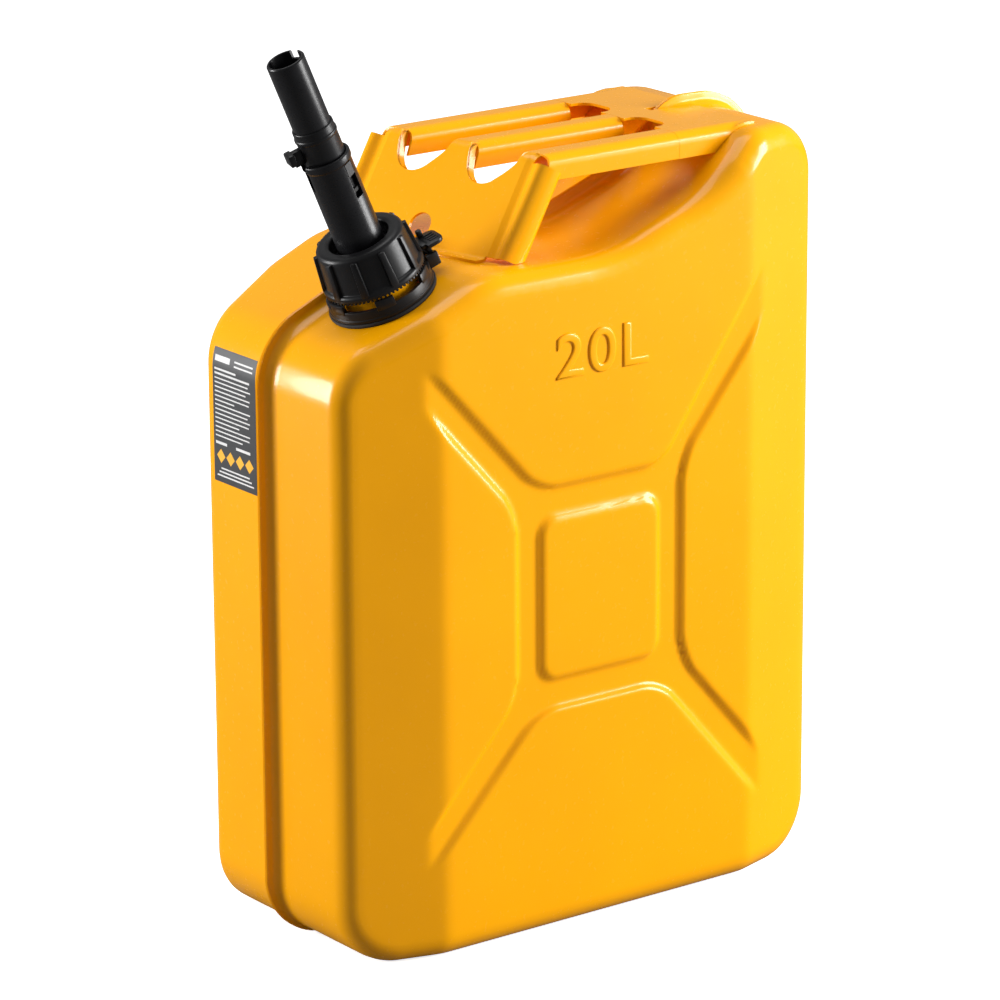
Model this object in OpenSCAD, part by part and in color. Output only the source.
// Twenty litre pressed steel jerry can with a screw-on pouring spout.
// +X runs from the spout side to the high rear side, -Y is a wide face,
// +Z is up, and the origin is the middle of the underside.

/* [Can body] */
// Width of the two shells, without the seam flange
body_w = 334; // [320:1:345]
// Thickness of the can across the two wide faces
body_t = 165; // [155:1:175]
// Thickness of the can at its rounded vertical corners
side_t = 129.5; // [120:0.5:140]
// Half width of the flat band in the middle of each wide face
band_half = 107; // [100:1:112]
// Thickness of the pressed sheet
sheet = 1.2; // [1:0.1:1.6]
// How far the seam flange stands proud of the shells
flange_proud = 7.5; // [5:0.5:10]
// Thickness of each seam flange
flange_t = 1.4; // [1:0.1:2]
// Depth of the pressed channels in the wide faces
channel_d = 2.5; // [1.5:0.1:3]

/* [Top line] */
// Height at which the vertical spout side meets the shoulder
shoulder_z = 347; // [340:1:350]
// Height of the low deck under the handle
deck_z = 387; // [385:1:390]
// Height of the rear hump
hump_z = 442; // [440:1:444]

/* [Handle] */
// Spacing of the three carrying bars
bar_pitch = 49; // [47:1:50]
// Width of one bar
bar_w = 21; // [19:1:24]
// Depth of a bar's rolled sides
bar_h = 12; // [11:1:14]
// Thickness of the handle sheet
handle_t = 1.6; // [1.4:0.1:2]

/* [Neck and spout] */
// Tilt of the neck from upright, towards the spout side
neck_tilt = 24; // [24:24]
// Place of the neck on the shoulder, along the width
neck_x = -110.5; // [-112:0.5:-108]
// Place of the neck across the can
neck_y = -30.5; // [-32:0.5:-30]
// Outer radius of the neck tube
neck_r = 23.6; // [23:0.1:24]
// Outer radius of the spout barrel
barrel_r = 13.4; // [13:0.1:14]
// Outer radius of the sliding nozzle
nozzle_r = 10.7; // [10:0.1:10.8]
// Height of the nozzle's tip above the shoulder, along the neck
tip_h = 153; // [145:1:156]
// Travel of the nozzle into the barrel
nozzle_travel = 12; // [8:1:12]

/* [Hidden] */
$fn = 96;

can_yellow = "gold";
moulded_black = "dimgray";
seal_black = "black";
spring_steel = "silver";
label_grey = "darkslategray";

half_w = body_w / 2;
half_t = body_t / 2;
half_side = side_t / 2;
wall_r = 13;          // rounding of the vertical corners
base_r = 37;          // rounding of the bottom corners in the wide view
shoulder_r = 36;      // rounding of the spout-side shoulder
tall = 470;           // taller than the can, for trimming
shoulder_slope = tan(neck_tilt);
neck_z = shoulder_z + shoulder_slope * (neck_x + half_w);
deck_x = -half_w + (deck_z - shoulder_z) / shoulder_slope;
eps = 0.05;           // clearance between pieces that rest on each other

// ---- outline helpers ----

function unit(v) = v / norm(v);
function left_normal(v) = [-v[1], v[0]];

// The arc, or the point, that rounds corner b between its neighbours a and c
function corner_arc(a, b, c, r, steps) = r <= 0 ? [b] :
    let (u = unit(a - b), v = unit(c - b), half = acos(u * v) / 2,
        centre = b + unit(u + v) * r / sin(half),
        s = b + u * r / tan(half) - centre, e = b + v * r / tan(half) - centre,
        a0 = atan2(s[1], s[0]), turn = (atan2(e[1], e[0]) - a0 + 540) % 360 - 180)
    [for (i = [0:steps]) centre + r * [cos(a0 + turn * i / steps), sin(a0 + turn * i / steps)]];

function xy(v) = [v[0], v[1]];

// Outline through corners [x, y, radius], each corner rounded
function rounded(v, steps = 8) = let (n = len(v))
    [for (i = [0:n - 1]) each corner_arc(xy(v[(i + n - 1) % n]), xy(v[i]), xy(v[(i + 1) % n]), v[i][2], steps)];

// Where the lines through a along u and through b along v meet
function meet(a, u, b, v) = a + u * ((b - a) * left_normal(v)) / (u * left_normal(v));

// Corners of a clockwise outline after its edges move outwards by d[i]; edge i starts at corner i
function moved(v, d) = let (n = len(v))
    [for (i = [0:n - 1]) let (a = xy(v[(i + n - 1) % n]), b = xy(v[i]), c = xy(v[(i + 1) % n]),
        before = unit(b - a), after = unit(c - b), d0 = d[(i + n - 1) % n], d1 = d[i],
        p = meet(b + left_normal(before) * d0, before, b + left_normal(after) * d1, after),
        convex = before * left_normal(after) > 0 ? 1 : -1,
        grown = v[i][2] + convex * (d0 + d1) / 2)
        [p[0], p[1], v[i][2] <= 0 ? 0 : max(grown, 0.2)]];

function same(v, d) = [for (i = v) d];

// ---- outlines of the can ----

// Seen on a wide face, clockwise from the bottom corner on the spout side
side_view = [
    [-half_w, 0, base_r], [-half_w, shoulder_z, shoulder_r], [deck_x, deck_z, 60],
    [13, deck_z, 120], [74.6, deck_z + 22.6, 100], [113, hump_z, 24],
    [half_w, hump_z - 1, 32], [half_w, 0, base_r]];

// Flange outline: proud all round, flush at the underside
flange_view = moved(side_view, concat([for (i = [0:6]) flange_proud], [0]));

// Seen from above: half of the can, clockwise, the seam plane at y = 0
plan_view = [
    [-half_w, 0, 0], [half_w, 0, 0], [half_w, -half_side, wall_r],
    [band_half, -half_t, 0], [-band_half, -half_t, 0], [-half_w, -half_side, wall_r]];

// Solid between y0 and y1 with an outline in the XZ plane
module slab(points, y0, y1) {
    translate([0, y1, 0]) rotate([90, 0, 0]) linear_extrude(y1 - y0) polygon(points);
}

module half_body(inset) {
    plan = moved(plan_view, [inset, -inset, -inset, -inset, -inset, -inset]);
    intersection() {
        slab(rounded(moved(side_view, same(side_view, -inset))), -half_t - 1, inset);
        translate([0, 0, -1]) linear_extrude(tall) polygon(rounded(plan, 6));
    }
}

// ---- pressed pattern on the wide faces ----

pattern_z = 196.7;
square_half = [39, 44.6];
end_half = 42.4;      // half width of the inner edge of the top and bottom panels
end_z = 67;           // from the centre to those edges
flank_x = 60.2;       // from the centre to the inner edges of the side panels
flank_z = [-52, 57];  // ends of those inner edges
reach = 66;           // how far the panels' slanted edges run
arm_up = [1.13, 1.36];    // steepness of the upper arms, spout side and rear side
arm_down = [1.12, 1.2];

// Raised panels, each clockwise: top, rear side, bottom, spout side, centre square
raised = [
    [[end_half, end_z], [-end_half, end_z], [-end_half - reach - 20, end_z + (reach + 20) * arm_up[0]],
        [-130, 270], [130, 270], [end_half + reach + 20, end_z + (reach + 20) * arm_up[1]]],
    [[flank_x, flank_z[0]], [flank_x, flank_z[1]], [flank_x + reach, flank_z[1] + reach * arm_up[1]],
        [flank_x + reach, flank_z[0] - reach * arm_down[1]]],
    [[-end_half, -end_z], [end_half, -end_z], [end_half + reach + 20, -end_z - (reach + 20) * arm_down[1]],
        [130, -200], [-130, -200], [-end_half - reach - 20, -end_z - (reach + 20) * arm_down[0]]],
    [[-flank_x, flank_z[1]], [-flank_x, flank_z[0]], [-flank_x - reach, flank_z[0] - reach * arm_down[0]],
        [-flank_x - reach, flank_z[1] + reach * arm_up[0]]],
    [[-square_half[0], -square_half[1]], [-square_half[0], square_half[1]],
        [square_half[0], square_half[1]], [square_half[0], -square_half[1]]]];

module channels(depth, shrink) {
    difference() {
        translate([-124, -half_t - 1, 24]) cube([248, depth + 1, 400]);
        for (panel = raised) {
            corners = [for (p = panel) [p[0], p[1] + pattern_z, 0]];
            slab([for (p = moved(corners, same(corners, -shrink))) xy(p)], -half_t - 2, -half_t + depth + 1);
        }
    }
}

module at_neck() {
    translate([neck_x, neck_y, neck_z]) rotate([0, -neck_tilt, 0]) children();
}

module ring(outer, inner, h0, h1) {
    translate([0, 0, h0]) difference() {
        cylinder(r = outer, h = h1 - h0);
        translate([0, 0, -1]) cylinder(r = inner, h = h1 - h0 + 2);
    }
}

module plain_shell() {
    difference() {
        union() {
            difference() {
                half_body(0);
                channels(channel_d, 0);
            }
            slab(rounded(flange_view), -flange_t, 0);
        }
        difference() {
            half_body(sheet + 0.001);
            channels(channel_d + sheet, sheet);
        }
    }
}

module shell_front() {
    color(can_yellow) difference() {
        plain_shell();
        at_neck() translate([0, 0, -10]) cylinder(r = neck_r + eps, h = 20);
        at_neck() translate([0, 0, 0.02]) cylinder(r = 32.4, h = 20);
    }
}

module shell_rear() {
    color(can_yellow) difference() {
        mirror([0, 1, 0]) plain_shell();
        at_neck() translate([0, 0, 0.02]) cylinder(r = 32.4, h = 20);
    }
}

// ---- neck and what is inside the can ----

neck_top = 25;
neck_bore = 21.8;

module filler_neck() {
    color(can_yellow) at_neck() difference() {
        union() {
            translate([0, 0, -16]) cylinder(r = neck_r, h = neck_top + 16);
            translate([0, 0, -3.2]) cylinder(r = 27.5, h = 1.8);
            for (h = [15.5, 19.5, 23.2]) translate([0, 0, h]) cylinder(r = neck_r + 0.7, h = 1.2);
            translate([0, 0, 5]) cylinder(r = neck_r + 0.9, h = 1.6);
        }
        translate([0, 0, -17]) cylinder(r = neck_bore, h = neck_top + 18);
    }
}

module breather_tube() {
    color(can_yellow) difference() {
        union() {
            translate([-88, neck_y, 370]) rotate([0, 90, 0]) cylinder(r = 4, h = 200);
            translate([112, neck_y, 366]) cylinder(r = 4, h = 62);
        }
        translate([-89, neck_y, 370]) rotate([0, 90, 0]) cylinder(r = 3, h = 203);
        translate([112, neck_y, 369]) cylinder(r = 3, h = 62);
        at_neck() translate([0, 0, -60]) cylinder(r = neck_r + 0.01, h = 60);
    }
}

screen_r = neck_bore - 0.3;

module flame_screen() {
    color(spring_steel) at_neck() difference() {
        union() {
            translate([0, 0, -34]) cylinder(r = screen_r, h = 34);
            translate([0, 0, -0.8]) cylinder(r = neck_bore - eps, h = 0.8);
        }
        translate([0, 0, -33]) cylinder(r = screen_r - 1, h = 40);
        for (row = [0:2], k = [0:7])
            rotate([0, 0, k * 45 + row * 22.5]) translate([0, 0, -27 + row * 9]) rotate([0, 90, 0])
                cylinder(r = 2.6, h = 30, $fn = 24);
    }
}

// ---- handle ----

handle_top = hump_z + eps + handle_t;
front_top = [-34, handle_top];
front_foot = [-66, deck_z + eps];
front_lean = atan2(front_top[0] - front_foot[0], front_top[1] - front_foot[1]);
front_len = norm(front_top - front_foot);
handle_half = 62;
leg_r = 10;           // radius of the front plate's rolled side edges
leg_depth = 15;
rear_edge = 126;
bar_end = 92;
notch_w = bar_pitch - bar_w;

// Lays the XY plane on the inclined front plate: x across the can, y up the plate
module on_front() {
    translate([front_foot[0], 0, front_foot[1]]) rotate([90 , 0, 90]) rotate([front_lean, 0, 0]) children();
}

module bar_section(w, h, r) {
    translate([-w / 2, -h]) square([w, h - r]);
    translate([-w / 2 + r, -h]) square([w - 2 * r, h]);
    for (s = [-1, 1]) translate([s * (w / 2 - r), -r]) circle(r = r);
}

module bar(y) {
    translate([front_top[0], y, handle_top]) rotate([90, 0, 90]) linear_extrude(bar_end - front_top[0])
        difference() {
            bar_section(bar_w, bar_h, 6);
            translate([0, -handle_t]) bar_section(bar_w - 2 * handle_t, bar_h, 6 - handle_t);
        }
}

module front_plate() {
    on_front() difference() {
        rotate([-90, 0, 0]) mirror([0, 1, 0]) translate([0, 0, -8]) linear_extrude(front_len + 6) difference() {
            rolled_section(0);
            rolled_section(handle_t);
        }
        translate([0, 0, -1]) linear_extrude(leg_depth + 2) {
            for (s = [-1, 1]) translate([s * bar_pitch / 2, front_len - 15]) {
                circle(r = notch_w / 2 - 1);
                translate([1 - notch_w / 2, 0]) square([notch_w - 2, 30]);
            }
            translate([0, 17]) circle(r = 6);
            translate([-3.5, -1]) square([7, 10]);
        }
    }
}

// Front plate's cross-section: its side edges are rolled back, away from the spout
module rolled_section(inset) {
    w = 2 * (handle_half - inset);
    r = leg_r - inset;
    translate([0, inset]) {
        translate([-w / 2, r]) square([w, leg_depth - r]);
        translate([-w / 2 + r, 0]) square([w - 2 * r, leg_depth]);
        for (s = [-1, 1]) translate([s * (w / 2 - r), r]) circle(r = r);
    }
}

module handle() {
    color(can_yellow) difference() {
        union() {
            for (k = [-1, 0, 1]) bar(k * bar_pitch);
            front_plate();
            for (s = [-1, 1]) translate([front_foot[0] - 9, s * 28 - 24, front_foot[1]]) cube([10, 48, handle_t]);
            translate([bar_end - 8, -handle_half, handle_top - handle_t])
                cube([rear_edge - bar_end + 8, 2 * handle_half, handle_t]);
        }
        translate([96, -2.5, handle_top - 20]) cube([60, 5, 40]);
        translate([-80, -2.5, 380]) cube([60, 5, 15.4]);
        translate([-90, -80, 360]) cube([70, 160, front_foot[1] - 360]);
        translate([-60, -80, handle_top]) cube([60, 160, 20]);
    }
}

// ---- neck fittings ----

module neck_gasket() {
    color(seal_black) at_neck() ring(31.1, neck_r + 1.3, eps, 2.2);
}

band_top = 9.5;
post_top = 13.6;
posts = 6;
post_w = 11;
paddle_at = -10;      // direction of the release paddle round the neck
pivot = [33.4, 9.5];  // radius and height of its pin

module pie(a0, a1, r) {
    polygon([[0, 0], for (i = [0:4]) r * [cos(a0 + (a1 - a0) * i / 4), sin(a0 + (a1 - a0) * i / 4)]]);
}

module lock_ring() {
    color(moulded_black) at_neck() {
        difference() {
            union() {
                ring(30.3, neck_r + 1, 2.2 + eps, 4.4);
                ring(29.9, 27.4, 4, band_top);
                for (k = [0:posts - 1]) intersection() {
                    ring(30.2, 27.4, 4, post_top);
                    rotate([0, 0, 62 + k * 360 / posts]) linear_extrude(20) pie(-10.5, 10.5, 40);
                }
                rotate([0, 0, paddle_at]) for (s = [-1, 1])
                    translate([28.6, s * 6.6 - 1.5, 4]) cube([7.4, 3, 8]);
            }
            rotate([0, 0, paddle_at]) translate([pivot[0], -20, pivot[1]]) rotate([-90, 0, 0])
                cylinder(r = 1.11, h = 40);
            rotate([0, 0, paddle_at]) translate([26, -4.4, 5]) cube([12, 8.8, 12]);
        }
    }
}

module paddle_pin() {
    color(spring_steel) at_neck() rotate([0, 0, paddle_at])
        translate([pivot[0], -8, pivot[1]]) rotate([-90, 0, 0]) cylinder(r = 1.1, h = 16);
}

module release_paddle() {
    color(moulded_black) at_neck() rotate([0, 0, paddle_at]) difference() {
        union() {
            translate([pivot[0], -4.1, pivot[1]]) rotate([-90, 0, 0]) cylinder(r = 2.6, h = 8.2);
            translate([pivot[0] - 1.3, -4.1, pivot[1]]) cube([2.6, 8.2, 6]);
            translate([pivot[0] - 4, -4.1, 13]) cube([4, 8.2, 2.4]);
            translate([0, 0, 13]) linear_extrude(2.4) {
                translate([pivot[0] - 1.3, -6.5]) square([9, 13]);
                translate([pivot[0] + 7.2, 0]) circle(r = 6.5);
            }
            for (k = [0:3]) translate([pivot[0] + 1.5 + k * 2.8, -4.5, 15.3]) cube([1, 9, 0.7]);
        }
        translate([pivot[0], -20, pivot[1]]) rotate([-90, 0, 0]) cylinder(r = 1.16, h = 40);
    }
}

// Square section spring wire wound round the pin between the lugs
module paddle_spring() {
    color(spring_steel) at_neck() rotate([0, 0, paddle_at]) translate([pivot[0], 0, pivot[1]])
        rotate([90, 0, 0]) for (y = [-4.9, 4.3]) ring(1.9, 1.4, y, y + 0.6);
}

// ---- screw collar ----

collar_foot = 14;
collar_top = 40.4;
thread_bore = 24.8;
lip_bore = 17;
ribs = 10;
teeth = 72;

module screw_collar() {
    color(moulded_black) at_neck() {
        rotate_extrude() polygon([
            [thread_bore, collar_foot + 1], [29, collar_foot + 1], [29, collar_foot + 3.6], [27.2, collar_foot + 4.4],
            [25.4, 37], [24.9, 38.8], [23.6, 40], [22.4, collar_top], [19, collar_top], [lip_bore, 38.4],
            [lip_bore, 32], [22.9, 32], [22.9, 27], [thread_bore, 27]]);
        ring(28.2, 27, collar_foot + 0.6, collar_foot + 1.2);
        for (k = [0:teeth - 1]) rotate([0, 0, k * 360 / teeth])
            translate([27, -0.6, collar_foot]) cube([1.8, 1.2, 1.2]);
        for (k = [0:ribs - 1]) rotate([0, 0, k * 360 / ribs + 8]) translate([24.9, -2.2, collar_foot + 4]) rotate([90, 0, 90])
            linear_extrude(4.2) polygon([[0, 0], [3.5, 0], [2.7, 19.5], [0, 19.5]]);
    }
}

// ---- spout ----

barrel_bore = 11.9;
barrel_top = 92.5;
seat_h = 9;
flange_r = 22.4;
flange_h = [27.1, 31.4];
hook_at = 165;        // direction of the hook on the nozzle sleeve
slot_at = -70;        // direction of the latch slot in the barrel
slot_h = [66, 88];
slot_w = 6;

module spout_barrel() {
    color(moulded_black) at_neck() difference() {
        union() {
            translate([0, 0, seat_h]) cylinder(r = barrel_r, h = barrel_top - seat_h);
            translate([0, 0, flange_h[0]]) cylinder(r = flange_r, h = flange_h[1] - flange_h[0]);
            translate([0, 0, 88.5]) cylinder(r = barrel_r + 0.5, h = 4);
        }
        translate([0, 0, seat_h - 1]) cylinder(r = barrel_bore, h = 100);
        rotate([0, 0, hook_at]) translate([8, -3, barrel_top - 16]) cube([10, 6, 20]);
        rotate([0, 0, slot_at]) translate([8, -slot_w / 2, slot_h[0]]) cube([10, slot_w, slot_h[1] - slot_h[0]]);
    }
}

module barrel_gasket() {
    color(seal_black) at_neck() ring(22.6, 18, neck_top + eps, flange_h[0] - eps);
}

module valve_seat() {
    color(moulded_black) at_neck() ring(barrel_bore, 7, seat_h, seat_h + 3);
}

module return_spring() {
    color(spring_steel) at_neck() {
        for (k = [0:7]) ring(10.9, 9.7, 12.1 + k * 5.4, 13.3 + k * 5.4);
        for (k = [0:6]) rotate([0, 0, k * 140]) translate([10.3, 0, 13 + k * 5.4]) cylinder(r = 0.5, h = 4.8, $fn = 16);
    }
}

tube_foot = 64;
sleeve_h = [78, 112];

module nozzle_tube() {
    color(moulded_black) at_neck() difference() {
        translate([0, 0, tube_foot]) cylinder(r = nozzle_r, h = tip_h - tube_foot);
        translate([0, 0, tube_foot + 4]) cylinder(r = nozzle_r - 1.6, h = 120);
        translate([0, 0, tube_foot - 1]) cylinder(r = 5, h = 10);
        rotate([0, 0, 20]) translate([4, -2.5, tip_h - 5]) cube([10, 5, 10]);
        for (k = [0:3]) rotate([0, 0, 45 + k * 90]) translate([7, 0, tube_foot - 1]) cylinder(r = 1.6, h = 10, $fn = 24);
        ring(20, 9.9, 69, 71.4);
    }
}

module nozzle_sleeve() {
    color(moulded_black) at_neck() {
        ring(11.6, nozzle_r + 0.02, sleeve_h[0], sleeve_h[1]);
        ring(12.1, 11.2, 105.5, 107);
        rotate([0, 0, hook_at]) {
            translate([11.2, -2, 94]) cube([6, 4, 9]);
            translate([16, -4.5, 96]) cube([4, 9, 7]);
        }
    }
}

module nozzle_o_ring() {
    color(seal_black) at_neck() ring(barrel_bore - 0.05, 9.9 + 0.02, 69.2, 71.2);
}

stem_r = 2;

module valve_stem() {
    color(moulded_black) at_neck() {
        translate([0, 0, 1]) cylinder(r = stem_r, h = 66);
        ring(4.9, stem_r - 0.1, 64.2, 67);
        for (a = [0, 90]) rotate([0, 0, a]) translate([-6.2, -0.7, 18]) cube([12.4, 1.4, 22]);
    }
}

module valve_disc() {
    color(moulded_black) at_neck() ring(9.5, stem_r + 0.02, 3, 6.4);
}

module valve_seal() {
    color(seal_black) at_neck() ring(9.2, 7.2, 6.4 + eps, seat_h - 0.3);
}

module vent_tube() {
    color(moulded_black) at_neck() translate([-5.8, 0, 0]) ring(2.2, 1.4, 68, 148);
}

// Peg of the nozzle that keeps it straight in the barrel's slot
module guide_peg() {
    color(moulded_black) at_neck() rotate([0, 0, slot_at])
        translate([11.62, -slot_w / 2 + 0.3, 79.5]) cube([1.5, slot_w - 0.6, 7.5]);
}

// ---- label on the narrow side ----

module info_label() {
    color(label_grey) translate([-half_w - 0.35, 12.5, 259]) cube([0.3, 41.5, 64]);
}

shell_front();
shell_rear();
filler_neck();
breather_tube();
flame_screen();
handle();
neck_gasket();
lock_ring();
paddle_pin();
release_paddle();
paddle_spring();
screw_collar();
spout_barrel();
barrel_gasket();
valve_seat();
return_spring();
nozzle_tube();
nozzle_sleeve();
nozzle_o_ring();
valve_stem();
valve_disc();
valve_seal();
vent_tube();
guide_peg();
info_label();
